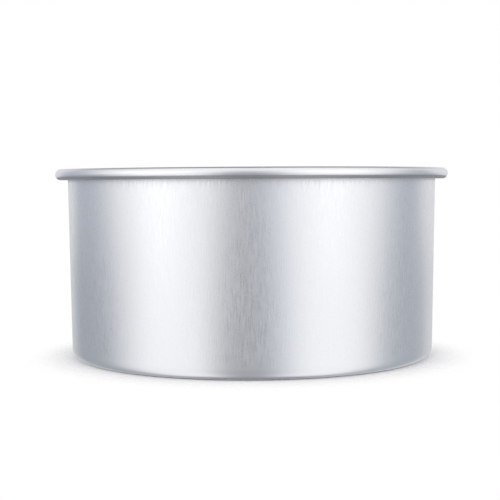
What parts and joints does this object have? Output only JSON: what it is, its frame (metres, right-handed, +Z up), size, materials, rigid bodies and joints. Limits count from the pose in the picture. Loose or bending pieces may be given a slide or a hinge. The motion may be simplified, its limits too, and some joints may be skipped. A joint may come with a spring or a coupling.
{
  "type": "deep round cake pan with a lift-out base",
  "caption": "Deep round baking pan of satin anodised aluminium with slightly tapered walls, a wide rolled rim and a loose base that lifts straight out.",
  "frame": {"origin": "centre of the flat ring that the pan stands on", "axes": "+Z up along the pan's axis of turning, towards the open mouth; X and Y are free, because the pan is round"},
  "size_m": [0.2188, 0.2188, 0.1045],
  "materials": {
    "shell_aluminium": "satin anodised, fine upright grain",
    "base_aluminium": "satin anodised, fine concentric grain",
    "rim_steel": "plain zinc-coated wire"
  },
  "bodies": {
    "shell": {"pan_shell": "shell_aluminium", "rim_wire": "rim_steel"},
    "base": {"loose_base": "base_aluminium"}
  },
  "joints": [
    {"name": "base_lift", "type": "slide", "parent": "shell", "child": "base", "axis": [0, 0, 1], "range_m": [0, 0.125]}
  ]
}
